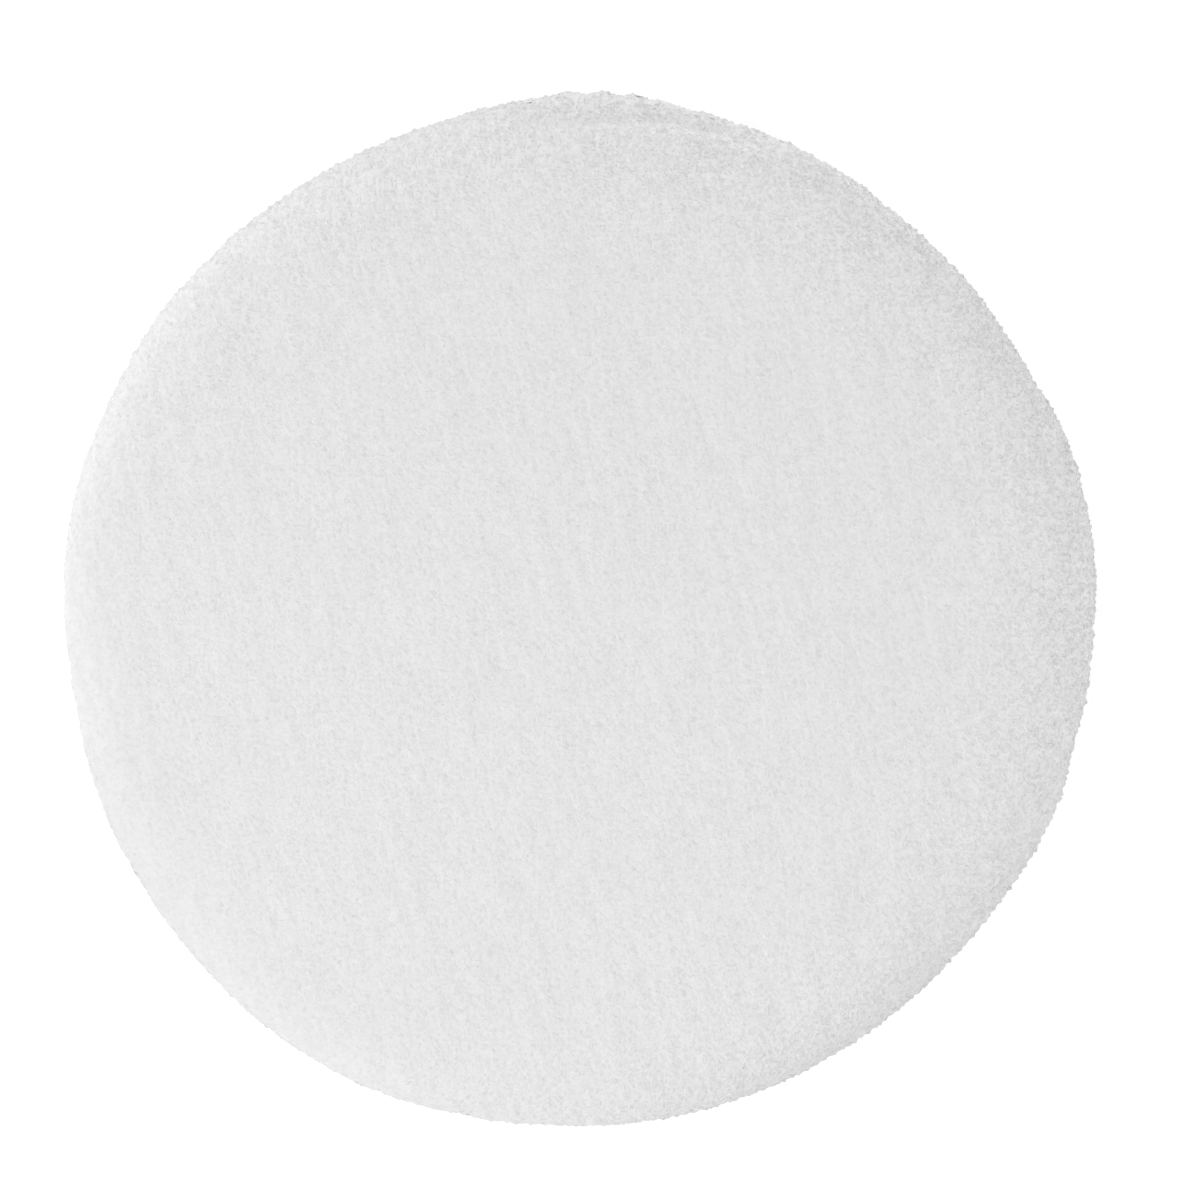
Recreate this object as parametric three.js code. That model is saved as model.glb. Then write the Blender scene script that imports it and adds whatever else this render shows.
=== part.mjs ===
// A round upholstered ottoman in pale nubby cloth. Millimetres, +Z up. The origin is on the
// surface that it stands on, under the middle of the drum.
//
// It has three pieces. The top pad is filled: it has a low crown, a soft round edge and a tuck
// down to the seam. The side drum is filled too: its cloth swells out under the seam, runs
// down in a shallow barrel, and turns under to the ring that it stands on. The base cloth is a
// thin disc let into the underside, inside that ring.
//
// Each piece is a profile turned about the middle. A row of a profile is one ring of cloth, and
// its weights say how far that ring follows the uneven outline, the seam and the waves.

import * as THREE from "three";

// Driving sizes
const outerRadius = 250; // mean outline, seen from above
const height = 400;
const seamHeight = 353; // where the top pad meets the side drum
const gap = 0.3; // between pieces that touch

// Top pad
const rimHeight = 366; // where the pad is widest
const edgeRound = 36; // how far in from the rim the round edge starts
const crown = 7; // rise of the middle over the edge
const seamTuck = 6; // how far in the seam lies from the outline

// Side drum
const shoulderDrop = 18; // from the seam down to the full width
const shoulderInset = 3; // the drum's shoulder lies this far inside the outline
const barrel = 2; // how much wider the drum is half way down
const footInset = 4; // the drum's foot lies this far inside the outline
const footRound = 15; // where the cloth turns under

// Base cloth and the recess that it lies in
const recessRadius = 206;
const baseThickness = 1.7;
const recessDepth = baseThickness + 2 * gap;
const baseClearance = 0.5; // round the edge of the base cloth

// Steps of the facets
const turnSteps = 120;
const edgeSteps = 6;
const crownSteps = 4;
const tuckSteps = 2;
const wallSteps = 5;
const footSteps = 4;
const shoulderSteps = 3;

const quarter = Math.PI / 2;
const degrees = 180 / Math.PI;

// A soft bulge of the outline, seen from above. at is its middle, counted round from +X, half
// is how far it reaches to either side, both in degrees, and rise is how far the cloth stands
// out there, or in where it is negative.
const outlineBulges = [
  { at: 9, half: 23, rise: 2.9 },
  { at: 42, half: 25, rise: -2.2 },
  { at: 85, half: 22, rise: 3.2 },
  { at: 121, half: 26, rise: -2.3 },
  { at: 163, half: 22, rise: 1.1 },
  { at: 192, half: 13, rise: -1.8 },
  { at: 237, half: 28, rise: 2.4 },
  { at: 304, half: 34, rise: -2.3 },
  { at: 342, half: 12, rise: 1.3 },
];

// A pucker at the seam. There the pad's edge is drawn in, and the drum's cloth puffs out under
// it, so that it shows from above.
const seamPuckers = [
  { at: 15, half: 9, draw: 2.5, puff: 3.5 },
  { at: 30, half: 9, draw: 3, puff: 4 },
  { at: 49, half: 10, draw: 3, puff: 4.5 },
  { at: 68, half: 10, draw: 3.5, puff: 5 },
  { at: 88, half: 13, draw: 6.5, puff: 5.5 },
];

// A slow wave down the drum's wall, where the cloth is a little slack.
const wallWaves = [
  { at: 31, half: 26, rise: 1.4 },
  { at: 97, half: 22, rise: -1.2 },
  { at: 146, half: 30, rise: 1.6 },
  { at: 208, half: 24, rise: -1.3 },
  { at: 262, half: 28, rise: 1.5 },
  { at: 325, half: 24, rise: -1.2 },
];

/** Sums one column of a table of bulges at an angle in degrees, each as a smooth bell. */
function bulge(rows, column, angle) {
  let sum = 0;
  for (const row of rows) {
    const off = Math.abs(((angle - row.at + 540) % 360) - 180);
    if (off < row.half) {
      sum += (row[column] * (1 + Math.cos((Math.PI * off) / row.half))) / 2;
    }
  }
  return sum;
}

/** One ring of cloth: its radius and height, and how far it takes part in each unevenness. */
function ring(radius, z, { outline = 0, draw = 0, puff = 0, wave = 0 } = {}) {
  return { radius, z, outline, draw, puff, wave };
}

/**
 * Rings along an arc of an ellipse, from one angle to another, both ends included. weigh gives
 * a ring's weights from the share of the arc that lies before it.
 */
function arcRings(middle, reach, from, to, steps, weigh) {
  const rings = [];
  for (let i = 0; i <= steps; i += 1) {
    const share = i / steps;
    const angle = from + (to - from) * share;
    const radius = middle.radius + reach.radius * Math.cos(angle);
    const z = middle.z + reach.z * Math.sin(angle);
    rings.push(ring(radius, z, weigh(share)));
  }
  return rings;
}

/** Turns rings about the middle and moves each point of them out or in by the tables. */
function turned(rings) {
  const profile = rings.map(({ radius, z }) => new THREE.Vector2(radius, z));
  const geometry = new THREE.LatheGeometry(profile, turnSteps);
  geometry.rotateX(quarter);
  const points = geometry.attributes.position;
  for (let i = 0; i < points.count; i += 1) {
    const { radius, outline, draw, puff, wave } = rings[i % rings.length];
    if (radius > 0) {
      const x = points.getX(i);
      const y = points.getY(i);
      const angle = Math.atan2(y, x) * degrees;
      const out =
        outline * bulge(outlineBulges, "rise", angle) -
        draw * bulge(seamPuckers, "draw", angle) +
        puff * bulge(seamPuckers, "puff", angle) +
        wave * bulge(wallWaves, "rise", angle);
      const grow = 1 + out / radius;
      points.setX(i, x * grow);
      points.setY(i, y * grow);
    }
  }
  return geometry;
}

/** The filled top pad: seam face, tuck, round edge and crown. */
function topPad() {
  const seamZ = seamHeight + gap;
  const flatRadius = outerRadius - edgeRound;
  const edgeTop = height - crown;
  const tuck = arcRings(
    { radius: outerRadius - seamTuck, z: rimHeight },
    { radius: seamTuck, z: rimHeight - seamZ },
    -quarter,
    0,
    tuckSteps,
    () => ({ outline: 1, draw: 1 }),
  );
  const edge = arcRings(
    { radius: flatRadius, z: rimHeight },
    { radius: edgeRound, z: edgeTop - rimHeight },
    0,
    quarter,
    edgeSteps,
    (share) => ({ outline: 1, draw: (1 - share) ** 2 }),
  );
  const face = [];
  for (let i = 1; i <= crownSteps; i += 1) {
    const share = 1 - i / crownSteps;
    face.push(ring(flatRadius * share, edgeTop + crown * (1 - share ** 2), { outline: share }));
  }
  return turned([ring(0, seamZ), ...tuck, ...edge.slice(1), ...face]);
}

/** The filled side drum: recess, standing ring, foot, barrel wall and shoulder. */
function sideDrum() {
  const footRadius = outerRadius - footInset;
  const shoulderRadius = outerRadius - shoulderInset;
  const shoulderZ = seamHeight - shoulderDrop;
  const foot = arcRings(
    { radius: footRadius - footRound, z: footRound },
    { radius: footRound, z: footRound },
    -quarter,
    0,
    footSteps,
    () => ({ outline: 0.5, wave: 0.5 }),
  );
  const wall = [];
  for (let i = 1; i < wallSteps; i += 1) {
    const up = i / wallSteps;
    const bow = Math.sin(Math.PI * up);
    const radius = footRadius + (shoulderRadius - footRadius) * up + barrel * bow;
    const weights = { outline: (1 + up ** 2) / 2, puff: up ** 6, wave: Math.max(bow, 0.5 - up / 2) };
    wall.push(ring(radius, footRound + (shoulderZ - footRound) * up, weights));
  }
  const shoulder = arcRings(
    { radius: outerRadius - seamTuck, z: shoulderZ },
    { radius: seamTuck - shoulderInset, z: shoulderDrop },
    0,
    quarter,
    shoulderSteps,
    (share) => (share < 1 ? { outline: 1, puff: 1 } : { outline: 1, draw: 1 }),
  );
  return turned([
    ring(0, recessDepth),
    ring(recessRadius, recessDepth),
    ring(recessRadius, 0),
    ...foot,
    ...wall,
    ...shoulder,
    ring(0, seamHeight),
  ]);
}

/** The base cloth: a flat disc in its recess. */
function baseCloth() {
  const radius = recessRadius - baseClearance;
  return turned([
    ring(0, gap),
    ring(radius, gap),
    ring(radius, gap + baseThickness),
    ring(0, gap + baseThickness),
  ]);
}

/** A named piece in its own cloth. */
function piece(name, geometry, color, roughness) {
  const material = new THREE.MeshStandardMaterial({ color, roughness, metalness: 0 });
  const mesh = new THREE.Mesh(geometry, material);
  mesh.name = name;
  return mesh;
}

const ottoman = new THREE.Group();
ottoman.add(piece("top_pad", topPad(), 0xecebe8, 0.95));
ottoman.add(piece("side_band", sideDrum(), 0xecebe8, 0.95));
ottoman.add(piece("base_panel", baseCloth(), 0x3c3c3e, 0.9));

export default ottoman;
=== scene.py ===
"""A round upholstered ottoman in pale nubby looped cloth.

The top pad and the side drum are filled skins, swelled by a cloth simulation. Small nubs of
looped yarn cover both. The base cloth is a dark disc, let into the underside.
"""

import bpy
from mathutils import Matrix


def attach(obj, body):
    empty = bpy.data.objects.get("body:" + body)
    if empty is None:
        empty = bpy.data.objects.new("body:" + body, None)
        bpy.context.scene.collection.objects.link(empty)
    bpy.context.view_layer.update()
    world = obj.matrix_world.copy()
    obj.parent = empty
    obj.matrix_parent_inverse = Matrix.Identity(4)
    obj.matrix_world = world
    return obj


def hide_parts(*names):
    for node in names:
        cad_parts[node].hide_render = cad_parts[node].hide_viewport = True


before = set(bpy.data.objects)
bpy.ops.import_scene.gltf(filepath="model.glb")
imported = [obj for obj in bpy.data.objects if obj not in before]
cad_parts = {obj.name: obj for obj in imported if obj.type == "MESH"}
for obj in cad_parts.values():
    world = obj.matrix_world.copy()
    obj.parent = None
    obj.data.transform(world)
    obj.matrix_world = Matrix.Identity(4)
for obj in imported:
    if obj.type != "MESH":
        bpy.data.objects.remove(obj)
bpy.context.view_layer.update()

import logging
import math
from collections.abc import Callable, Sequence
from dataclasses import dataclass
from enum import Enum

import bmesh
import bpy
import numpy as np
from bmesh.types import BMesh, BMVert
from bpy.types import Collection, Material, Mesh, Node, NodeSocket, NodeTree, Object
from mathutils import Vector, noise

MM = 0.001
QUARTER = math.pi / 2
FULL_TURN = 360.0
WHITE = (1.0, 1.0, 1.0, 1.0)

# Nearer the axis than this a point isn't moved out or in
AXIS_REACH = 1.0 * MM

# Points nearer each other than this are one point
MERGE_REACH = 0.001 * MM

# A shorter move counts as this long, so that nothing is divided by 0
LEAST_MOVE = 1e-9

# Cloth whose normal points further down than this carries no pile
FACES_DOWN = -0.8

log = logging.getLogger("ottoman")


class Slot(Enum):
    """Names for the material slots."""

    NUB_CLOTH = "nub_cloth"
    BASE_CLOTH = "base_cloth"


class Follow(Enum):
    """What a ring of cloth may take part in, by the name of its weight."""

    OUTLINE = "outline"
    DRAW = "draw"
    PUFF = "puff"
    WAVE = "wave"
    LIFT = "lift"


class Mark(Enum):
    """The values that are written on a cloth or its pile, by the names of their layers."""

    TONE = "nub_tone"
    HERE = "pile_here"
    PART = "pile_part"
    OPEN = "pile_open"


@dataclass(frozen=True)
class Bulge:
    """A soft bulge round the middle: its place and reach in degrees, and its rise."""

    at: float
    half: float
    rise: float


# The outline is a little uneven
OUTLINE_BULGES = (
    Bulge(18, 33, 3.3 * MM),
    Bulge(30, 17, -3.3 * MM),
    Bulge(48, 20, -2.1 * MM),
    Bulge(90, 19, 2.5 * MM),
    Bulge(115, 34, -2.9 * MM),
    Bulge(169, 18, 1.4 * MM),
    Bulge(189, 15, -1.4 * MM),
    Bulge(240, 30, 2.6 * MM),
    Bulge(311, 42, -2.0 * MM),
    Bulge(335, 10, 2.0 * MM),
)

# The pad's edge is drawn in at the seam
SEAM_DRAWS = (
    Bulge(15, 9, 1.0 * MM),
    Bulge(30, 9, 1.0 * MM),
    Bulge(49, 10, 0.6 * MM),
    Bulge(67, 10, 0.4 * MM),
    Bulge(88, 15, 1.2 * MM),
)

# The drum's cloth puffs out under the seam
SEAM_PUFFS = (
    Bulge(15, 9, 3.5 * MM),
    Bulge(30, 9, 3.5 * MM),
    Bulge(49, 10, 3.5 * MM),
    Bulge(67, 10, 3.5 * MM),
    Bulge(81, 13, 3.5 * MM),
    Bulge(94, 13, 3.5 * MM),
)

# The seam pulls a soft valley into the pad's edge, with a fuller fold outside it
EDGE_VALLEYS = (
    Bulge(35, 24, 0.8 * MM),
    Bulge(77, 11, 3.6 * MM),
    Bulge(89, 12, 3.9 * MM),
    Bulge(112, 18, 0.9 * MM),
)

# The drum's wall is a little slack
WALL_WAVES = (
    Bulge(31, 26, 1.4 * MM),
    Bulge(97, 22, -1.2 * MM),
    Bulge(146, 30, 1.6 * MM),
    Bulge(208, 24, -1.3 * MM),
    Bulge(262, 28, 1.5 * MM),
    Bulge(325, 24, -1.2 * MM),
)

# The table that each move goes by, and whether it goes out or in
MOVES = {
    Follow.OUTLINE: (OUTLINE_BULGES, 1.0),
    Follow.DRAW: (SEAM_DRAWS, -1.0),
    Follow.PUFF: (SEAM_PUFFS, 1.0),
    Follow.WAVE: (WALL_WAVES, 1.0),
}


@dataclass(frozen=True)
class Ring:
    """One ring of cloth in a profile: its radius, its height and how far it follows each move."""

    radius: float
    z: float
    outline: float = 0.0
    draw: float = 0.0
    puff: float = 0.0
    wave: float = 0.0
    lift: float = 0.0


def bulge(rows: Sequence[Bulge], angle: float | np.ndarray) -> float | np.ndarray:
    """Sums a table of bulges at one angle or at many.

    Args:
        rows: The bulges.
        angle: The angle or angles in degrees, counted round from +X.

    Returns:
        How far the cloth stands out there, in metres.
    """
    total = 0.0
    for row in rows:
        away = abs((angle - row.at + 1.5 * FULL_TURN) % FULL_TURN - FULL_TURN / 2)
        off = np.minimum(away / row.half, 1.0)
        total = total + row.rise * (1 + np.cos(math.pi * off)) / 2
    return total


def arc(
    middle: tuple[float, float],
    reach: tuple[float, float],
    start: float,
    steps: int,
    weigh: Callable[[float], dict[str, float]],
) -> list[Ring]:
    """Makes rings along a quarter of an ellipse, both ends included.

    Args:
        middle: Radius and height of the ellipse's middle.
        reach: Half its width and half its height.
        start: The first angle, in radians.
        steps: The number of steps.
        weigh: Gives a ring's weights from the share of the arc that lies before it.

    Returns:
        The rings, in order.
    """
    rings = []
    for step in range(steps + 1):
        share = step / steps
        angle = start + QUARTER * share
        radius = middle[0] + reach[0] * math.cos(angle)
        z = middle[1] + reach[1] * math.sin(angle)
        rings.append(Ring(radius, z, **weigh(share)))
    return rings


def in_order(skin: BMesh, places: dict[BMVert, tuple[int, int]]) -> BMesh:
    """Makes a skin anew in a fixed order. Spin's own order varies from run to run.

    Args:
        skin: The skin, which is freed.
        places: Each vertex's ring and its step round.

    Returns:
        The same skin, with its vertices and faces in order.
    """
    verts = sorted(skin.verts, key=places.get)
    for index, vert in enumerate(verts):
        vert.index = index
    faces = []
    for face in skin.faces:
        corners = [vert.index for vert in face.verts]
        first = corners.index(min(corners))
        faces.append(corners[first:] + corners[:first])
    made = bmesh.new()
    points = [made.verts.new(vert.co) for vert in verts]
    for corners in sorted(faces):
        made.faces.new([points[index] for index in corners])
    skin.free()
    return made


def turned(rings: Sequence[Ring], steps: int) -> BMesh:
    """Turns a profile about the middle, and moves its points out or in by the tables.

    Args:
        rings: The profile, from one end on the axis to the other.
        steps: The number of steps round.

    Returns:
        A closed skin with its faces outwards.
    """
    skin = bmesh.new()
    layers = {follow: skin.verts.layers.float.new(follow.value) for follow in Follow}
    numbers = skin.verts.layers.int.new("number")
    profile = []
    for number, ring in enumerate(rings):
        vert = skin.verts.new((ring.radius, 0.0, ring.z))
        vert[numbers] = number
        for follow, layer in layers.items():
            vert[layer] = getattr(ring, follow.value)
        profile.append(vert)
    edges = [skin.edges.new(pair) for pair in zip(profile, profile[1:])]
    bmesh.ops.spin(
        skin,
        geom=profile + edges,
        cent=(0.0, 0.0, 0.0),
        axis=(0.0, 0.0, 1.0),
        angle=math.tau,
        steps=steps,
        use_merge=True,
    )
    bmesh.ops.remove_doubles(skin, verts=skin.verts, dist=MERGE_REACH)
    bmesh.ops.recalc_face_normals(skin, faces=skin.faces)
    places = {}
    for vert in skin.verts:
        places[vert] = (vert[numbers], 0)
        radius = math.hypot(vert.co.x, vert.co.y)
        if radius > AXIS_REACH:
            angle = math.degrees(math.atan2(vert.co.y, vert.co.x))
            places[vert] = (vert[numbers], round(angle / FULL_TURN * steps) % steps)
            out = sum(
                sign * vert[layers[follow]] * bulge(rows, angle)
                for follow, (rows, sign) in MOVES.items()
            )
            vert.co.x *= 1 + out / radius
            vert.co.y *= 1 + out / radius
            vert.co.z += vert[layers[Follow.LIFT]] * bulge(SEAM_PUFFS, angle)
    return in_order(skin, places)


def as_object(name: str, shape: BMesh) -> Object:
    """Puts a bmesh into a new object of that name in the scene, and frees it."""
    mesh = bpy.data.meshes.new(name)
    shape.to_mesh(mesh)
    shape.free()
    piece = bpy.data.objects.new(name, mesh)
    bpy.context.scene.collection.objects.link(piece)
    return piece


def apply_modifiers(piece: Object) -> None:
    """Swaps a piece's mesh for the one that its modifiers give, and takes them off."""
    depsgraph = bpy.context.evaluated_depsgraph_get()
    made = bpy.data.meshes.new_from_object(piece.evaluated_get(depsgraph))
    made.name = piece.name
    piece.modifiers.clear()
    piece.data = made


def rows_of(items: bpy.types.bpy_prop_collection, name: str) -> np.ndarray:
    """Gives one vector of each item as rows of x, y and z."""
    found = np.empty(len(items) * 3, np.float32)
    items.foreach_get(name, found)
    return found.reshape(-1, 3).astype(float)


def points_of(mesh: Mesh) -> np.ndarray:
    """Gives a mesh's vertices as rows of x, y and z."""
    return rows_of(mesh.vertices, "co")


def normals_of(mesh: Mesh) -> np.ndarray:
    """Gives a mesh's vertex normals as rows of x, y and z."""
    return rows_of(mesh.vertex_normals, "vector")


def radius_of(points: np.ndarray) -> np.ndarray:
    """Gives each point's distance from the axis."""
    return np.hypot(points[:, 0], points[:, 1])


def turn_of(points: np.ndarray) -> np.ndarray:
    """Gives each point's angle about the axis, in radians from +X."""
    return np.arctan2(points[:, 1], points[:, 0])


def set_points(mesh: Mesh, points: np.ndarray) -> None:
    """Writes rows of x, y and z back to a mesh's vertices."""
    mesh.vertices.foreach_set("co", points.astype(np.float32).ravel())
    mesh.update()


def write_mark(mesh: Mesh, mark: Mark, values: np.ndarray) -> None:
    """Writes a value on each vertex of a mesh under a mark."""
    layer = mesh.attributes.new(mark.value, "FLOAT", "POINT")
    layer.data.foreach_set("value", values.astype(np.float32))


def smoothly(share: np.ndarray) -> np.ndarray:
    """Eases shares from 0 to 1, and holds what lies outside."""
    held = np.clip(share, 0.0, 1.0)
    return held * held * (3.0 - 2.0 * held)


@dataclass(frozen=True)
class Fade:
    """An eased step from 0 to 1 along a distance: where it starts and how long it is."""

    start: float
    length: float

    def share(self, distance: np.ndarray) -> np.ndarray:
        """Gives how far each distance lies along the step: 0 before it and 1 past it."""
        return smoothly((distance - self.start) / self.length)


@dataclass(frozen=True)
class Swelling:
    """How a filled skin is swelled: its remesh, the air in it and how far a point may move.

    A skin whose voxel is 0 keeps its own faces.
    """

    voxel: float = 0.0
    pressure: float = 4.0
    smoothings: int = 1
    frames: int = 20
    cap: float = 3 * MM
    quality: int = 4

    def run(self, piece: Object, held: Callable[[np.ndarray], np.ndarray]) -> None:
        """Remeshes the skin, swells it against what holds it, and smooths it.

        Args:
            piece: The skin, as a closed mesh.
            held: Gives how firmly each point is held, from 0 to 1.
        """
        if self.voxel:
            remesh = piece.modifiers.new("remesh", "REMESH")
            remesh.mode = "VOXEL"
            remesh.voxel_size = self.voxel
            apply_modifiers(piece)
        self.swell(piece, held(points_of(piece.data)))
        smooth = piece.modifiers.new("smooth", "SUBSURF")
        smooth.levels = smooth.render_levels = self.smoothings
        apply_modifiers(piece)

    def swell(self, piece: Object, weights: np.ndarray) -> None:
        """Runs the cloth simulation and keeps its moves, up to the cap."""
        pins = piece.vertex_groups.new(name="held")
        for index, weight in enumerate(weights.tolist()):
            pins.add([index], weight, "REPLACE")
        cloth = piece.modifiers.new("cloth", "CLOTH")
        cloth.settings.quality = self.quality
        cloth.settings.use_pressure = True
        cloth.settings.uniform_pressure_force = self.pressure
        cloth.settings.effector_weights.gravity = 0.0
        cloth.settings.vertex_group_mass = pins.name
        cloth.point_cache.frame_start = 1
        cloth.point_cache.frame_end = self.frames
        scene = bpy.context.scene
        for number in range(1, self.frames + 1):
            scene.frame_set(number)
        depsgraph = bpy.context.evaluated_depsgraph_get()
        swelled = points_of(piece.evaluated_get(depsgraph).data)
        piece.modifiers.clear()
        piece.vertex_groups.clear()
        scene.frame_set(1)
        start = points_of(piece.data)
        move = swelled - start
        length = np.linalg.norm(move, axis=1, keepdims=True)
        allowed = self.cap * np.tanh(length / self.cap)
        log.info("%s swells by up to %.1f mm", piece.name, length.max() / MM)
        set_points(piece.data, start + move * allowed / np.maximum(length, LEAST_MOVE))


class Value:
    """A socket that can be used in arithmetic. Each operation adds its Math node."""

    def __init__(self, graph: "Graph", socket: NodeSocket) -> None:
        """Wraps one output socket of a graph."""
        self.graph = graph
        self.socket = socket

    def __add__(self, other: "Value | float") -> "Value":
        """Gives self + other."""
        return self.graph.maths("ADD", self, other)

    def __sub__(self, other: "Value | float") -> "Value":
        """Gives self - other."""
        return self.graph.maths("SUBTRACT", self, other)

    def __rsub__(self, other: float) -> "Value":
        """Gives other - self."""
        return self.graph.maths("SUBTRACT", other, self)

    def __mul__(self, other: "Value | float") -> "Value":
        """Gives self * other."""
        return self.graph.maths("MULTIPLY", self, other)

    __radd__ = __add__
    __rmul__ = __mul__


class Graph:
    """Adds nodes to a tree, which may be a shader's or a geometry's."""

    def __init__(self, tree: NodeTree) -> None:
        """Starts with an empty tree."""
        self.tree = tree
        tree.nodes.clear()

    def node(
        self,
        kind: str,
        settings: dict[str, object] | None = None,
        sockets: dict[str, object] | None = None,
    ) -> Node:
        """Adds a node, with its settings first and then its sockets.

        Args:
            kind: The node's type.
            settings: Its properties.
            sockets: By name, a value to hold, or a Value or socket to link from.

        Returns:
            The node.
        """
        made = self.tree.nodes.new(kind)
        for name, setting in (settings or {}).items():
            setattr(made, name, setting)
        for name, given in (sockets or {}).items():
            socket = next(s for s in made.inputs if s.name == name and s.enabled)
            self.feed(socket, given)
        return made

    def feed(self, socket: NodeSocket, given: object) -> None:
        """Links a Value or socket to an input, or sets the input to a plain value."""
        if isinstance(given, Value):
            given = given.socket
        if isinstance(given, NodeSocket):
            self.tree.links.new(given, socket)
        else:
            socket.default_value = given

    def out(self, made: Node, name: str) -> Value:
        """Gives a node's live output of that name."""
        return Value(self, next(s for s in made.outputs if s.name == name and s.enabled))

    def maths(self, operation: str, *given: "Value | float") -> Value:
        """Adds a Math node for one operation on values."""
        made = self.node("ShaderNodeMath", {"operation": operation})
        for socket, item in zip(made.inputs, given):
            self.feed(socket, item)
        return Value(self, made.outputs[0])


class ShaderGraph(Graph):
    """Adds nodes to a material."""

    def place(self) -> Value:
        """Gives the shaded point in the piece's own frame, which is the CAD's."""
        return self.out(self.node("ShaderNodeTexCoord"), "Object")

    def mark(self, mark: Mark) -> Value:
        """Gives what is written on the mesh under a mark."""
        settings = {"attribute_name": mark.value, "attribute_type": "GEOMETRY"}
        return self.out(self.node("ShaderNodeAttribute", settings), "Fac")

    def noise(self, place: Value, grain: float, detail: float) -> Value:
        """Adds a smooth noise, from 0 to 1.

        Args:
            place: Where it is read.
            grain: The size of its grain, in the unit of the place.
            detail: How many finer layers of noise lie on it.

        Returns:
            The noise.
        """
        sockets = {"Vector": place, "Scale": 1.0 / grain, "Detail": detail, "Roughness": 0.5}
        return self.out(self.node("ShaderNodeTexNoise", None, sockets), "Fac")

    def grey(self, tone: Value) -> Value:
        """Makes a tone into a grey colour."""
        made = self.node("ShaderNodeCombineColor")
        for socket in list(made.inputs)[:3]:
            self.feed(socket, tone)
        return Value(self, made.outputs[0])

    def surface(self, sockets: dict[str, object]) -> None:
        """Adds a Principled shader with these sockets, and shows it."""
        shader = self.node("ShaderNodeBsdfPrincipled", None, sockets)
        self.node("ShaderNodeOutputMaterial", None, {"Surface": shader.outputs[0]})


class GeometryGraph(Graph):
    """Adds nodes to a geometry tree."""

    def mark(self, mark: Mark) -> Value:
        """Gives what is written on the geometry under a mark."""
        sockets = {"Name": mark.value}
        made = self.node("GeometryNodeInputNamedAttribute", {"data_type": "FLOAT"}, sockets)
        return self.out(made, "Attribute")

    def draw(self, kind: str, low: object, high: object, seed: int) -> Value:
        """Draws a value at random for each point.

        Args:
            kind: The value's type.
            low: The lowest that it may be.
            high: The highest that it may be.
            seed: The number that the draw goes by.

        Returns:
            The value.
        """
        sockets = {"Min": low, "Max": high, "Seed": seed}
        return self.out(self.node("FunctionNodeRandomValue", {"data_type": kind}, sockets), "Value")


def new_material(name: str) -> tuple[Material, ShaderGraph]:
    """Makes an empty material, and gives it with the graph of its nodes."""
    made = bpy.data.materials.new(name)
    made.use_nodes = True
    return made, ShaderGraph(made.node_tree)


@dataclass(frozen=True)
class NubFinish:
    """The nubby cloth's finish. Its colour carries painted shade in the gaps between curls and
    painted light on the strands; where the pile is open, its gaps are deeper by opening. It also
    paints light onto the open rims.
    """

    name: str = "nubby_loop_cloth"
    shade: float = 0.878
    roughness: float = 0.95
    specular: float = 0.2
    sheen: float = 0.6
    streak_angle: float = 15.0
    streak_width: float = 4.7 * MM
    streak_length: float = 45 * MM
    streak_detail: float = 2.0
    streak_tone: float = 0.105
    nub_tone: float = 0.012
    opening: float = 0.85
    # Painted light: the colour is lighter where the pile is open, most on the rims turned away from
    # the key lamp
    painted_rim_light: float = 0.03
    # Painted shade: the colour is darker in the gaps between curls and lighter on the strands
    painted_gap_shade: float = 0.057
    curl: float = 2.4 * MM
    curl_detail: float = 1.0
    curl_sharp: float = 5.0
    curl_middle: float = 0.5
    curl_height: float = 0.24 * MM
    fibre: float = 1.0 * MM
    fibre_detail: float = 2.0
    fibre_height: float = 0.12 * MM

    def material(self) -> Material:
        """Builds the material: soft pile streaks, a tone for each nub, painted shade in the gaps
        between curls, painted light on the open rims and fibres as bump.
        """
        made, graph = new_material(self.name)
        place = graph.place()
        curls = self.curls(graph, place)
        fibres = graph.noise(place, self.fibre, self.fibre_detail)
        opened = graph.mark(Mark.OPEN)
        deepen = 1.0 + opened * self.opening
        streaks = (self.streaks(graph, place) - 0.5) * self.streak_tone
        # Painted light on the open rims, added to each nub's own random tone
        nub_tone_and_painted_light = graph.mark(Mark.TONE) * self.nub_tone + opened * self.painted_rim_light
        # Painted shade in the gaps between curls, deeper where the pile is open
        gaps = (self.curl_middle - curls) * deepen * self.painted_gap_shade
        # The height is in metres, so the bump's own distance is 1
        height = (curls * self.curl_height + fibres * self.fibre_height) * deepen
        bump = graph.node("ShaderNodeBump", None, {"Distance": 1.0, "Height": height})
        graph.surface(
            {
                "Base Color": graph.grey((1.0 + streaks + nub_tone_and_painted_light - gaps) * self.shade),
                "Roughness": self.roughness,
                "Specular IOR Level": self.specular,
                "Sheen Weight": self.sheen,
                "Normal": bump.outputs[0],
            }
        )
        return made

    def streaks(self, graph: ShaderGraph, place: Value) -> Value:
        """Gives long soft streaks that lean, from 0 to 1."""
        lay = graph.node(
            "ShaderNodeMapping",
            {"vector_type": "TEXTURE"},
            {
                "Vector": place,
                "Rotation": (0.0, 0.0, math.radians(self.streak_angle)),
                "Scale": (self.streak_width, self.streak_length, self.streak_length),
            },
        )
        return graph.noise(graph.out(lay, "Vector"), 1.0, self.streak_detail)

    def curls(self, graph: ShaderGraph, place: Value) -> Value:
        """Gives curled strands of yarn as soft ridges, from 0 in the gaps to 1 on a strand."""
        swirl = graph.noise(place, self.curl, self.curl_detail)
        ridge = 1.0 - graph.maths("ABSOLUTE", (swirl - 0.5) * self.curl_sharp)
        return graph.maths("MAXIMUM", ridge, 0.0)


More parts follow.
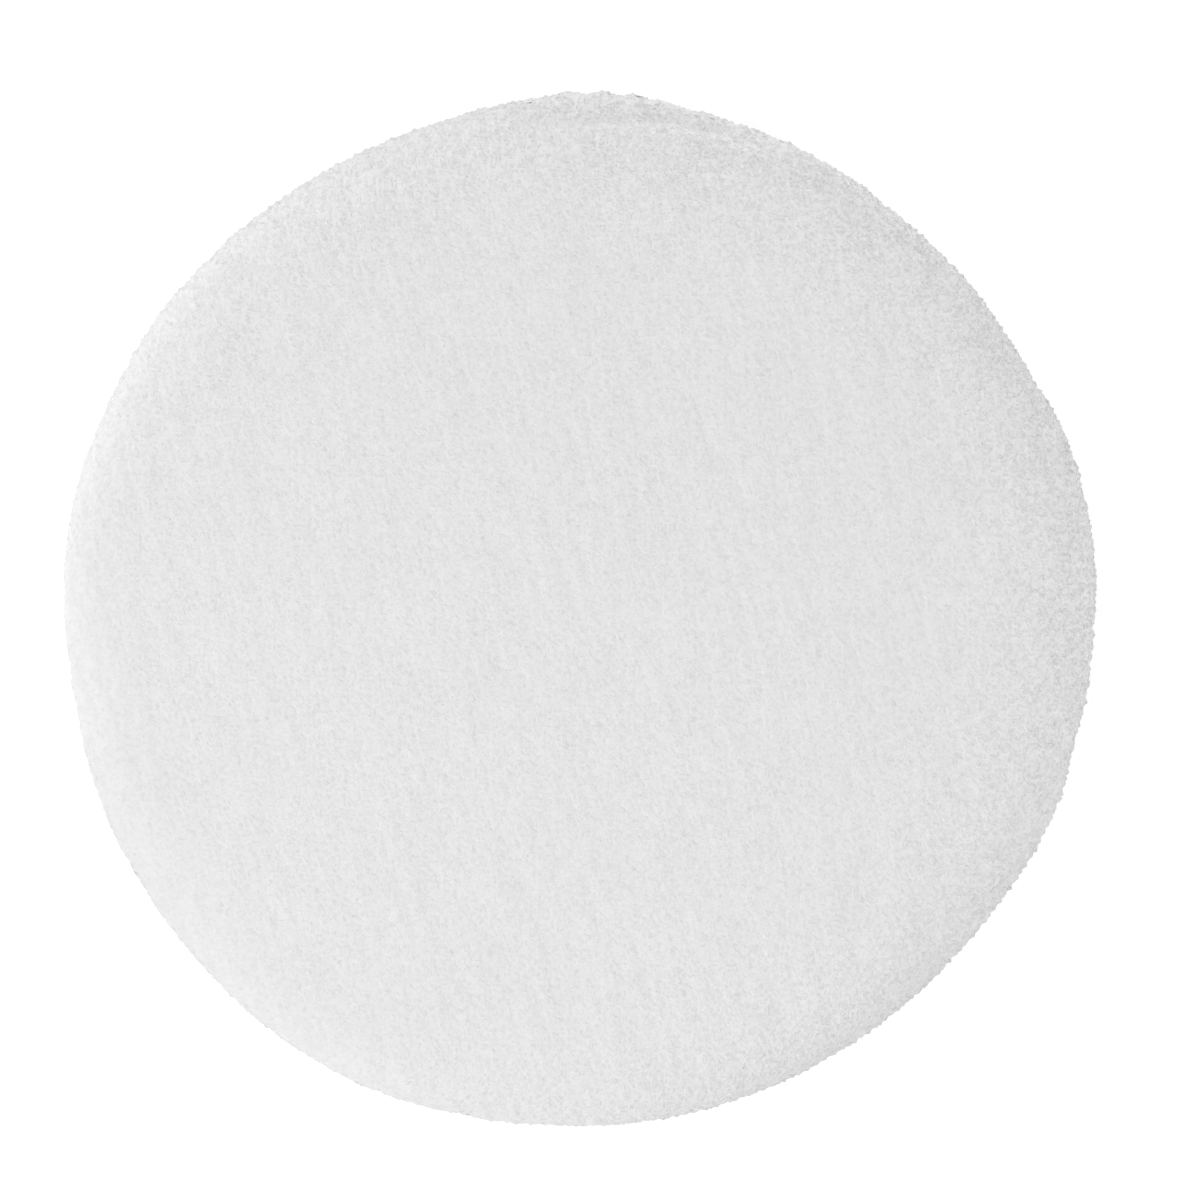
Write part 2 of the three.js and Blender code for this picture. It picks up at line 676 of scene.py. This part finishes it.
@dataclass(frozen=True)
class BaseFinish:
    """The dark base cloth's finish."""

    name: str = "plain_base_cloth"
    shade: float = 0.05
    roughness: float = 0.9
    specular: float = 0.2
    thread: float = 1.2 * MM
    thread_tone: float = 0.3
    thread_height: float = 0.15 * MM
    mottle: float = 1.0 / 60.0
    mottle_detail: float = 2.0
    mottle_tone: float = 0.3

    def material(self) -> Material:
        """Builds the material: a plain fine weave."""
        made, graph = new_material(self.name)
        place = graph.place()
        parts = graph.node("ShaderNodeSeparateXYZ", None, {"Vector": place})
        across = graph.maths("SINE", graph.out(parts, "X") * (math.tau / self.thread))
        along = graph.maths("SINE", graph.out(parts, "Y") * (math.tau / self.thread))
        weave = across * along * 0.5 + 0.5
        threads = 1.0 + (weave - 0.5) * self.thread_tone
        mottle = graph.noise(place, self.mottle, self.mottle_detail)
        mottled = 1.0 + (mottle - 0.5) * self.mottle_tone
        bump = graph.node("ShaderNodeBump", None, {"Distance": self.thread_height, "Height": weave})
        graph.surface(
            {
                "Base Color": graph.grey(threads * mottled * self.shade),
                "Roughness": self.roughness,
                "Specular IOR Level": self.specular,
                "Normal": bump.outputs[0],
            }
        )
        return made


@dataclass(frozen=True)
class Nap:
    """The way the pile lies, and so how far it opens where the cloth turns over the edge.

    It parts most on the side that the azimuth names, which faces away from the key lamp, and closes
    up on the opposite side. The nubby finish paints deeper shade into the gaps and light onto the
    rims by this opening.
    """

    azimuth: float = 35.0
    inner: float = 150 * MM
    outer: float = 246 * MM
    even: float = 0.8
    leaning: float = 0.92

    def opening(self, points: np.ndarray) -> np.ndarray:
        """Gives how far the pile is open at each point: 0 as it lies flat, above 0 parted."""
        inside = (radius_of(points) - self.inner) / (self.outer - self.inner)
        edge = np.clip(inside, 0.0, 1.0) ** 2
        turn = turn_of(points) - math.radians(self.azimuth)
        return edge * (self.even + self.leaning * np.cos(turn))

    def mark(self, cloth: Object) -> None:
        """Writes on a cloth how far its pile is open at each vertex."""
        write_mark(cloth.data, Mark.OPEN, self.opening(points_of(cloth.data)))


@dataclass(frozen=True)
class NubPile:
    """The looped pile: small closed nubs of yarn that stand side by side on a cloth's face."""

    spacing: float = 3.0 * MM
    crowding: float = 5.0
    radius: float = 3.6 * MM
    rise: float = 1.2 * MM
    sink: float = 0.45 * MM
    corners: int = 5
    kinds: int = 8
    jitter: float = 0.2
    spread: float = 0.25
    raised: float = 0.3
    tilt: float = 0.08
    seed: int = 7

    def nubs(self) -> Collection:
        """Makes a few uneven nubs, in a collection that the scene doesn't show."""
        kinds = bpy.data.collections.new("nub_kinds")
        rng = np.random.default_rng(self.seed)
        for number in range(self.kinds):
            nub = bmesh.new()
            bmesh.ops.create_uvsphere(nub, u_segments=self.corners, v_segments=2, radius=1.0)
            # Only the edges that run to a pole are smooth
            for edge in nub.edges:
                edge.smooth = any(abs(vert.co.z) > 0.5 for vert in edge.verts)
            for vert in nub.verts:
                push = Vector(rng.uniform(-self.jitter, self.jitter, 3))
                push.z *= abs(vert.co.z)
                vert.co += push
                vert.co.x *= self.radius
                vert.co.y *= self.radius
                vert.co.z *= self.rise
                vert.co.z -= self.sink
            mesh = bpy.data.meshes.new(f"nub_{number}")
            nub.to_mesh(mesh)
            nub.free()
            mesh.polygons.foreach_set("use_smooth", [True] * len(mesh.polygons))
            kinds.objects.link(bpy.data.objects.new(mesh.name, mesh))
        return kinds

    def tree(self, kinds: Collection) -> NodeTree:
        """Builds the geometry nodes that set nubs side by side and turn each its own way.

        Args:
            kinds: The nubs to choose from.

        Returns:
            The node tree.
        """
        tree = bpy.data.node_groups.new("nub_pile", "GeometryNodeTree")
        tree.interface.new_socket("Cloth", in_out="INPUT", socket_type="NodeSocketGeometry")
        tree.interface.new_socket("Pile", in_out="OUTPUT", socket_type="NodeSocketGeometry")
        graph = GeometryGraph(tree)
        cloth = graph.node("NodeGroupInput").outputs[0]
        feet = graph.node(
            "GeometryNodeDistributePointsOnFaces",
            {"distribute_method": "POISSON"},
            {
                "Mesh": cloth,
                "Distance Min": self.spacing,
                "Density Max": self.crowding / self.spacing**2,
                "Density Factor": graph.mark(Mark.HERE),
                "Seed": self.seed,
            },
        )
        kept = graph.node(
            "GeometryNodeDeleteGeometry",
            {"domain": "POINT"},
            {
                "Geometry": graph.out(feet, "Points"),
                "Selection": graph.maths("LESS_THAN", graph.mark(Mark.PART), 0.0),
            },
        )
        least_turn = (-self.tilt, -self.tilt, -math.pi)
        most_turn = (self.tilt, self.tilt, math.pi)
        turn = graph.draw("FLOAT_VECTOR", least_turn, most_turn, self.seed + 1)
        twist = graph.node("FunctionNodeEulerToRotation", None, {"Euler": turn})
        stand = graph.node(
            "FunctionNodeRotateRotation",
            {"rotation_space": "LOCAL"},
            {"Rotation": graph.out(feet, "Rotation"), "Rotate By": graph.out(twist, "Rotation")},
        )
        least_size, most_size = (1.0 - self.spread,) * 3, (1.0 + self.spread,) * 3
        size = graph.draw("FLOAT_VECTOR", least_size, most_size, self.seed + 2)
        taller = graph.node(
            "ShaderNodeCombineXYZ",
            None,
            {"X": 1.0, "Y": 1.0, "Z": graph.mark(Mark.OPEN) * self.raised + 1.0},
        )
        sized = graph.node("ShaderNodeVectorMath", {"operation": "MULTIPLY"})
        graph.feed(sized.inputs[0], size)
        graph.feed(sized.inputs[1], graph.out(taller, "Vector"))
        choice = graph.node(
            "GeometryNodeCollectionInfo",
            None,
            {"Collection": kinds, "Separate Children": True, "Reset Children": True},
        )
        stood = graph.node(
            "GeometryNodeInstanceOnPoints",
            None,
            {
                "Points": graph.out(kept, "Geometry"),
                "Instance": graph.out(choice, "Instances"),
                "Pick Instance": True,
                "Instance Index": graph.draw("INT", 0, self.kinds - 1, self.seed + 3),
                "Rotation": graph.out(stand, "Rotation"),
                "Scale": sized.outputs[0],
            },
        )
        toned = graph.node(
            "GeometryNodeStoreNamedAttribute",
            {"data_type": "FLOAT", "domain": "INSTANCE"},
            {
                "Geometry": graph.out(stood, "Instances"),
                "Name": Mark.TONE.value,
                "Value": graph.draw("FLOAT", -0.5, 0.5, self.seed + 4),
            },
        )
        whole = graph.node(
            "GeometryNodeRealizeInstances", None, {"Geometry": graph.out(toned, "Geometry")}
        )
        graph.node("NodeGroupOutput", None, {"Pile": graph.out(whole, "Geometry")})
        return tree

    def grow(
        self, name: str, cloth: Object, tree: NodeTree, here: np.ndarray, part: np.ndarray
    ) -> Object:
        """Grows the pile on part of a cloth.

        Args:
            name: The pile's name.
            cloth: The piece that it stands on.
            tree: The nodes from tree().
            here: For each vertex of the cloth, how dense the pile is, from 0 to 1.
            part: For each vertex, how far it lies inside this part of the pile, or below 0.

        Returns:
            The pile, as one mesh.
        """
        pile = bpy.data.objects.new(name, cloth.data.copy())
        bpy.context.scene.collection.objects.link(pile)
        write_mark(pile.data, Mark.HERE, here)
        write_mark(pile.data, Mark.PART, part)
        pile.modifiers.new("pile", "NODES").node_group = tree
        apply_modifiers(pile)
        log.info("%s has %d faces", name, len(pile.data.polygons))
        return pile


def add_bake_map(piece: Object, across: np.ndarray, up: np.ndarray) -> None:
    """Gives a piece a map on which its texture can be laid out.

    Args:
        piece: The piece.
        across: Each vertex's place across the map, in any unit.
        up: Each vertex's place up the map, in any unit.
    """
    margin = 0.002
    mesh = piece.data
    layer = mesh.uv_layers.new(name="OFBake")
    corners = np.empty(len(mesh.loops), np.int32)
    mesh.loops.foreach_get("vertex_index", corners)
    places = np.stack([across, up], 1)
    low, high = places.min(0), places.max(0)
    places = margin + (1.0 - 2.0 * margin) * (places - low) / (high - low)
    layer.uv.foreach_set("vector", places[corners].astype(np.float32).ravel())


@dataclass(frozen=True)
class Clumps:
    """Low uneven swells under the pile, where the yarn stands a little higher or lower."""

    width: float = 11 * MM
    rise: float = 0.1 * MM

    def push(self, piece: Object, strength: np.ndarray) -> None:
        """Moves a piece's vertices along their normals."""
        points = points_of(piece.data)
        heights = [noise.noise(Vector(point / self.width)) for point in points]
        out = np.array(heights) * self.rise * strength
        set_points(piece.data, points + normals_of(piece.data) * out[:, None])


# Where the cloth puffs out at the seam, it is lobed
LOBES = Clumps(width=8 * MM, rise=1.4 * MM)


def puffed(piece: Object, seam_height: float) -> np.ndarray:
    """Gives how far each vertex lies in the stretches of the seam where the cloth puffs out."""
    reach = 16 * MM
    points = points_of(piece.data)
    most = max(row.rise for row in SEAM_PUFFS)
    puffs = bulge(SEAM_PUFFS, np.degrees(turn_of(points))) / most
    return puffs * np.exp(-(((points[:, 2] - seam_height) / reach) ** 2))


@dataclass(frozen=True)
class EdgeValley:
    """The soft valley that the seam pulls into the pad's edge, and the fold outside it.

    It runs at a slant to the outline for a stretch: its inset grows by slant with each degree.
    """

    inset: float = 10.2 * MM
    slant: float = 0.62 * MM
    slant_at: float = 83.0
    slant_half: float = 6.0
    half_width: float = 5 * MM
    fold_inset: float = 2.5 * MM
    fold_width: float = 3.5 * MM
    fold_share: float = 0.5

    def push(self, pad: Object, outer_radius: float) -> None:
        """Moves the pad's vertices along their normals."""
        points, normals = points_of(pad.data), normals_of(pad.data)
        turns = np.degrees(turn_of(points))
        depths = bulge(EDGE_VALLEYS, turns)
        rims = outer_radius + bulge(OUTLINE_BULGES, turns)
        inside = rims - radius_of(points)
        along = np.clip(turns - self.slant_at, -self.slant_half, self.slant_half)
        valley = np.exp(-(((inside - self.inset - self.slant * along) / self.half_width) ** 2))
        fold = np.exp(-(((inside - self.fold_inset) / self.fold_width) ** 2))
        out = depths * (self.fold_share * fold - valley) * (normals[:, 2] > 0.0)
        set_points(pad.data, points + normals * out[:, None])


@dataclass(frozen=True)
class Puckers:
    """Short soft puckers where cloth is eased onto a seam."""

    width: float = 24 * MM
    rise: float = 1.8 * MM
    seed: float = 3.0

    def push(self, piece: Object, radius: float, strength: np.ndarray) -> None:
        """Moves a piece's vertices along their normals, as much as strength says.

        Args:
            piece: The piece.
            radius: The radius of the seam.
            strength: For each vertex a share, which fades away from the seam.
        """
        points = points_of(piece.data)
        reach = radius / self.width
        out = np.array(
            [
                noise.noise(Vector((reach * math.cos(turn), reach * math.sin(turn), self.seed)))
                for turn in turn_of(points)
            ]
        )
        move = normals_of(piece.data) * (out * strength * self.rise)[:, None]
        set_points(piece.data, points + move)


@dataclass(frozen=True)
class ClosingSeam:
    """The upright seam that closes the side band."""

    at: float = 128.0
    half_width: float = 4 * MM
    depth: float = 1.8 * MM
    bare: float = 1.1 * MM

    def off(self, points: np.ndarray) -> np.ndarray:
        """Gives each point's distance from the seam, round the drum."""
        turn = turn_of(points) - math.radians(self.at)
        return np.abs((turn + math.pi) % math.tau - math.pi) * radius_of(points)

    def crease(self, piece: Object, strength: np.ndarray) -> None:
        """Draws the cloth in along the seam."""
        points = points_of(piece.data)
        pull = self.depth * np.exp(-((self.off(points) / self.half_width) ** 2)) * strength
        set_points(piece.data, points - normals_of(piece.data) * pull[:, None])


@dataclass(frozen=True)
class TopPad:
    """The filled top pad: seam face, tuck, round edge and low crown.

    Its cloth starts lower than the finished height by the swell and the pile, and the pile's
    tips make up the outline.
    """

    name: str = "top_pad_cloth"
    outer_radius: float = 250 * MM
    seam_height: float = 353.3 * MM
    rim_height: float = 366 * MM
    height: float = 400 * MM
    edge_round: float = 36 * MM
    crown: float = 7 * MM
    seam_tuck: float = 6 * MM
    swell_room: float = 3.0 * MM
    rim_room: float = -0.1 * MM
    foam_hold: float = 0.15
    seam_free: Fade = Fade(2 * MM, 8 * MM)
    clump_start: Fade = Fade(3 * MM, 10 * MM)
    pucker_start: Fade = Fade(0.0, 5 * MM)
    pucker_fade: float = 12 * MM
    pile_start: float = 1.5 * MM
    swelling: Swelling = Swelling(voxel=6 * MM)
    turn_steps: int = 120
    tuck_steps: int = 4
    edge_steps: int = 10
    face_shares: tuple[float, ...] = (0.86, 0.7, 0.5, 0.3, 0.15, 0.0)

    def rings(self) -> list[Ring]:
        """Gives the pad's profile, from the middle of the seam face to the middle of the top."""
        rim = self.outer_radius - self.rim_room
        flat_radius = self.outer_radius - self.edge_round
        edge_top = self.height - self.crown - self.swell_room
        tuck = arc(
            (rim - self.seam_tuck, self.rim_height),
            (self.seam_tuck, self.rim_height - self.seam_height),
            -QUARTER,
            self.tuck_steps,
            lambda share: {"outline": 1.0, "draw": 1.0},
        )
        edge = arc(
            (flat_radius, self.rim_height),
            (rim - flat_radius, edge_top - self.rim_height),
            0.0,
            self.edge_steps,
            lambda share: {"outline": 1.0, "draw": (1.0 - share) ** 2},
        )
        face = []
        for share in self.face_shares:
            rise = self.crown * (1.0 - share**2)
            face.append(Ring(flat_radius * share, edge_top + rise, outline=share))
        return [Ring(0.0, self.seam_height), *tuck, *edge[1:], *face]

    def held(self, points: np.ndarray) -> np.ndarray:
        """Gives how firmly the seam and the foam hold each point of the cloth."""
        seam = 1.0 - self.seam_free.share(points[:, 2] - self.seam_height)
        return np.maximum(seam, self.foam_hold)

    def build(self) -> Object:
        """Builds the swelled pad."""
        pad = as_object(self.name, turned(self.rings(), self.turn_steps))
        self.swelling.run(pad, self.held)
        above = points_of(pad.data)[:, 2] - self.seam_height
        EdgeValley().push(pad, self.outer_radius)
        eased = self.pucker_start.share(above) * np.exp(-above / self.pucker_fade)
        Puckers().push(pad, self.outer_radius, eased)
        Clumps().push(pad, self.clump_start.share(above))
        LOBES.push(pad, puffed(pad, self.rim_height) * self.seam_free.share(above))
        pad.data.shade_smooth()
        return pad

    def piled(self, pad: Object) -> np.ndarray:
        """Gives where the pile stands on the pad: all but the seam face and its tuck."""
        points, normals = points_of(pad.data), normals_of(pad.data)
        shown = points[:, 2] > self.seam_height + self.pile_start
        return (shown & (normals[:, 2] > FACES_DOWN)).astype(float)


@dataclass(frozen=True)
class SideDrum:
    """The filled side drum: recess, standing ring, foot, barrel wall and shoulder.

    Its pile runs from a little above the floor, over the shoulder, as far as the cloth faces out.
    """

    name: str = "side_band_cloth"
    outer_radius: float = 250 * MM
    seam_height: float = 353 * MM
    seam_tuck: float = 6 * MM
    shoulder_drop: float = 18 * MM
    shoulder_inset: float = 3 * MM
    barrel: float = 2 * MM
    foot_inset: float = 4 * MM
    foot_round: float = 15 * MM
    recess_radius: float = 206 * MM
    recess_depth: float = 2.3 * MM
    pile_room: float = 2.4 * MM
    puff_power: int = 6
    shoulder_power: int = 4
    lift_power: float = 0.8
    seam_hold: Fade = Fade(-7 * MM, 5 * MM)
    foot_free: Fade = Fade(3 * MM, 9 * MM)
    pucker_fade: float = 25 * MM
    pile_foot: float = 3 * MM
    pile_stop: float = 1.5 * MM
    shoulder_reach: float = 8 * MM
    faces_up: float = 0.95
    swelling: Swelling = Swelling(pressure=12.0, smoothings=2)
    closing: ClosingSeam = ClosingSeam()
    turn_steps: int = 140
    foot_steps: int = 4
    wall_steps: int = 25
    shoulder_steps: int = 6
    recess_shares: tuple[float, ...] = (0.0, 0.5, 1.0)
    under_shares: tuple[float, ...] = (0.0, 0.5)
    face_shares: tuple[float, ...] = (0.9, 0.5, 0.0)

    def rings(self) -> list[Ring]:
        """Gives the drum's profile, from the recess's middle to the seam face's middle."""
        foot_radius = self.outer_radius - self.foot_inset - self.pile_room
        shoulder_radius = self.outer_radius - self.shoulder_inset - self.pile_room
        seam_radius = self.outer_radius - self.seam_tuck - self.pile_room
        shoulder_z = self.seam_height - self.shoulder_drop
        recess = [
            Ring(self.recess_radius * share, self.recess_depth) for share in self.recess_shares
        ]
        under = foot_radius - self.foot_round - self.recess_radius
        ring = [Ring(self.recess_radius + under * share, 0.0) for share in self.under_shares]
        foot = arc(
            (foot_radius - self.foot_round, self.foot_round),
            (self.foot_round, self.foot_round),
            -QUARTER,
            self.foot_steps,
            lambda share: {"outline": 0.5, "wave": 0.5},
        )
        wall = []
        for step in range(1, self.wall_steps):
            up = step / self.wall_steps
            bow = math.sin(math.pi * up)
            wall.append(
                Ring(
                    foot_radius + (shoulder_radius - foot_radius) * up + self.barrel * bow,
                    self.foot_round + (shoulder_z - self.foot_round) * up,
                    outline=(1.0 + up**2) / 2.0,
                    puff=up**self.puff_power,
                    wave=max(bow, 0.5 - up / 2.0),
                )
            )
        shoulder = arc(
            (seam_radius, shoulder_z),
            (shoulder_radius - seam_radius, self.shoulder_drop),
            0.0,
            self.shoulder_steps,
            lambda share: {
                "outline": 1.0,
                "puff": 1.0 - share**self.shoulder_power,
                "draw": share**self.shoulder_power,
                "lift": math.sin(math.pi * share**self.lift_power),
            },
        )
        face = [
            Ring(seam_radius * share, self.seam_height, outline=share) for share in self.face_shares
        ]
        return [*recess, *ring, *foot, *wall, *shoulder, *face]

    def held(self, points: np.ndarray) -> np.ndarray:
        """Gives how firmly the seam and the turned-under foot hold each point of the cloth."""
        seam = self.seam_hold.share(points[:, 2] - self.seam_height)
        foot = 1.0 - self.foot_free.share(points[:, 2])
        return np.maximum(seam, foot)

    def build(self) -> Object:
        """Builds the swelled drum."""
        drum = as_object(self.name, turned(self.rings(), self.turn_steps))
        self.swelling.run(drum, self.held)
        free = 1.0 - self.held(points_of(drum.data))
        below = np.maximum(self.seam_height - points_of(drum.data)[:, 2], 0.0)
        Puckers().push(drum, self.outer_radius, free * np.exp(-below / self.pucker_fade))
        Clumps().push(drum, free)
        LOBES.push(drum, puffed(drum, self.seam_height) * free)
        self.closing.crease(drum, free)
        drum.data.shade_smooth()
        return drum

    def piled(self, drum: Object) -> np.ndarray:
        """Gives where the pile stands on the drum: its wall, its shoulder and round its foot."""
        points = points_of(drum.data)
        z, up = points[:, 2], normals_of(drum.data)[:, 2]
        shown = (z > self.pile_foot) & (z < self.seam_height - self.pile_stop)
        shown |= (z > self.seam_height - self.shoulder_reach) & (up < self.faces_up)
        shown &= (up > FACES_DOWN) & (self.closing.off(points) > self.closing.bare)
        return shown.astype(float)

    def part(self, drum: Object, number: int, parts: int) -> np.ndarray:
        """Gives how far each vertex lies inside one of the parts that go round, in radians."""
        half = math.pi / parts
        turn = turn_of(points_of(drum.data)) - (2 * number + 1) * half
        return half - np.abs((turn + math.pi) % math.tau - math.pi)


@dataclass(frozen=True)
class BasePanel:
    """The base cloth: a flat disc in its recess.

    An edge whose faces turn by more than sharp, in radians, is rounded.
    """

    name: str = "base_panel_cloth"
    radius: float = 205.5 * MM
    low: float = 0.3 * MM
    thickness: float = 1.7 * MM
    edge: float = 0.5 * MM
    sharp: float = 1.0
    turn_steps: int = 180
    edge_steps: int = 2

    def build(self) -> Object:
        """Builds the disc, with its edges a little rounded."""
        disc = bmesh.new()
        bmesh.ops.create_circle(disc, cap_ends=True, segments=self.turn_steps, radius=self.radius)
        extruded = bmesh.ops.extrude_face_region(disc, geom=list(disc.faces))
        raised = [item for item in extruded["geom"] if isinstance(item, BMVert)]
        bmesh.ops.translate(disc, vec=(0.0, 0.0, self.thickness), verts=raised)
        bmesh.ops.translate(disc, vec=(0.0, 0.0, self.low), verts=disc.verts)
        rims = [edge for edge in disc.edges if abs(edge.calc_face_angle(0.0)) > self.sharp]
        bmesh.ops.bevel(
            disc,
            geom=rims,
            offset=self.edge,
            segments=self.edge_steps,
            profile=0.5,
            affect="EDGES",
            material=-1,
        )
        bmesh.ops.recalc_face_normals(disc, faces=disc.faces)
        return as_object(self.name, disc)


@dataclass(frozen=True)
class Lamp:
    """A soft square lamp that points at the ottoman's top.

    It stands azimuth degrees round from +X, elevation degrees over the top. Its distance and the
    length of its sides are in metres, and its power is in watts.
    """

    name: str
    azimuth: float
    elevation: float
    power: float
    distance: float = 2.2
    size: float = 1.0
    aim: float = 0.39

    def build(self) -> None:
        """Adds the lamp to the scene."""
        light = bpy.data.lights.new(self.name, "AREA")
        light.shape = "SQUARE"
        light.size = self.size
        light.energy = self.power
        lamp = bpy.data.objects.new(self.name, light)
        turn, lift = math.radians(self.azimuth), math.radians(self.elevation)
        level = math.cos(lift)
        away = Vector((math.cos(turn) * level, math.sin(turn) * level, math.sin(lift)))
        lamp.location = Vector((0.0, 0.0, self.aim)) + away * self.distance
        lamp.rotation_euler = away.to_track_quat("Z", "Y").to_euler()
        lamp.visible_camera = False
        bpy.context.scene.collection.objects.link(lamp)


@dataclass(frozen=True)
class Studio:
    """A plain pale floor and plain soft light."""

    lamps: tuple[Lamp, ...] = (
        Lamp("key", azimuth=200.0, elevation=25.0, power=10.9),
        Lamp("front", azimuth=240.0, elevation=45.0, power=6.9),
        Lamp("front_fill", azimuth=300.0, elevation=25.0, power=4.5),
        Lamp("right_edge", azimuth=30.0, elevation=10.0, power=10.5),
        Lamp("back_edge", azimuth=120.0, elevation=3.0, power=13.5),
        Lamp("overhead", azimuth=0.0, elevation=90.0, power=21.8, distance=2.6, size=1.4),
    )
    sky: float = 0.33
    floor_shade: float = 0.85
    floor_glow: float = 0.36
    floor_size: float = 40.0

    def build(self) -> None:
        """Builds the floor, the sky and the lamps."""
        floor = bmesh.new()
        bmesh.ops.create_grid(floor, x_segments=1, y_segments=1, size=self.floor_size / 2)
        ground = as_object("floor", floor)
        ground.data.materials.append(self.floor_finish())
        world = bpy.data.worlds.new("soft_sky")
        world.use_nodes = True
        graph = Graph(world.node_tree)
        sky = graph.node("ShaderNodeBackground", None, {"Color": WHITE, "Strength": self.sky})
        graph.node("ShaderNodeOutputWorld", None, {"Surface": sky.outputs[0]})
        bpy.context.scene.world = world
        for lamp in self.lamps:
            lamp.build()

    def floor_finish(self) -> Material:
        """Builds the floor's pale, overexposed finish."""
        made, graph = new_material("pale_floor")
        graph.surface(
            {
                "Base Color": (self.floor_shade,) * 3 + (1.0,),
                "Roughness": 1.0,
                "Specular IOR Level": 0.0,
                "Emission Color": WHITE,
                "Emission Strength": self.floor_glow,
            }
        )
        return made


@dataclass(frozen=True)
class PlanCamera:
    """The camera of the photograph: straight above, with the ottoman a little off the middle."""

    lens: float = 135.0
    sensor: float = 36.0
    frame_width: float = 583.2 * MM
    aim_height: float = 366 * MM
    right: float = 10.55 * MM
    up: float = 6.03 * MM
    near: float = 0.05
    far: float = 100.0

    def build(self) -> None:
        """Builds the camera and makes it the scene's."""
        data = bpy.data.cameras.new("plan_camera")
        data.lens = self.lens
        data.sensor_width = self.sensor
        data.clip_start, data.clip_end = self.near, self.far
        camera = bpy.data.objects.new("plan_camera", data)
        distance = self.frame_width * self.lens / self.sensor
        camera.location = (self.right, self.up, self.aim_height + distance)
        bpy.context.scene.collection.objects.link(camera)
        bpy.context.scene.camera = camera


@dataclass(frozen=True)
class Ottoman:
    """The whole ottoman."""

    side_parts: int = 4

    def build(self) -> None:
        """Builds every piece, dresses it and hides the CAD part that each cloth replaces."""
        nubby = NubFinish().material()
        plain = BaseFinish().material()
        top, side, base = TopPad(), SideDrum(), BasePanel()
        nap = Nap()

        pad = top.build()
        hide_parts("top_pad")
        nap.mark(pad)
        self.dress(pad, nubby)

        drum = side.build()
        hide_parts("side_band")
        nap.mark(drum)
        self.dress(drum, nubby)

        disc = base.build()
        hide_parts("base_panel")
        flat = 2 * base.radius
        math.pi * base.radius**2
        self.dress(disc, plain)

        pile = NubPile()
        tree = pile.tree(pile.nubs())
        whole = np.ones(len(pad.data.vertices))
        top_pile = pile.grow("top_pile", pad, tree, top.piled(pad), whole)
        points = points_of(top_pile.data)
        add_bake_map(top_pile, points[:, 0], points[:, 1])
        self.dress(top_pile, nubby)
        for part in range(self.side_parts):
            inside = side.part(drum, part, self.side_parts)
            side_pile = pile.grow(f"side_pile_{part + 1}", drum, tree, side.piled(drum), inside)
            points = points_of(side_pile.data)
            turn = turn_of(points) - math.tau * (part + 0.5) / self.side_parts
            add_bake_map(side_pile, (turn + math.pi) % math.tau, points[:, 2])
            self.dress(side_pile, nubby)

    def dress(self, piece: Object, finish: Material) -> None:
        """Gives a piece its finish and the body that it rides on."""
        piece.data.materials.clear()
        piece.data.materials.append(finish)
        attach(piece, "root")
        log.info("%s is built", piece.name)


def main() -> None:
    """Builds the camera, the ottoman and the studio."""
    logging.basicConfig(level=logging.INFO, format="%(message)s")
    bpy.context.scene.view_settings.view_transform = "Standard"
    PlanCamera().build()
    Ottoman().build()
    Studio().build()


if __name__ == "__main__":
    main()
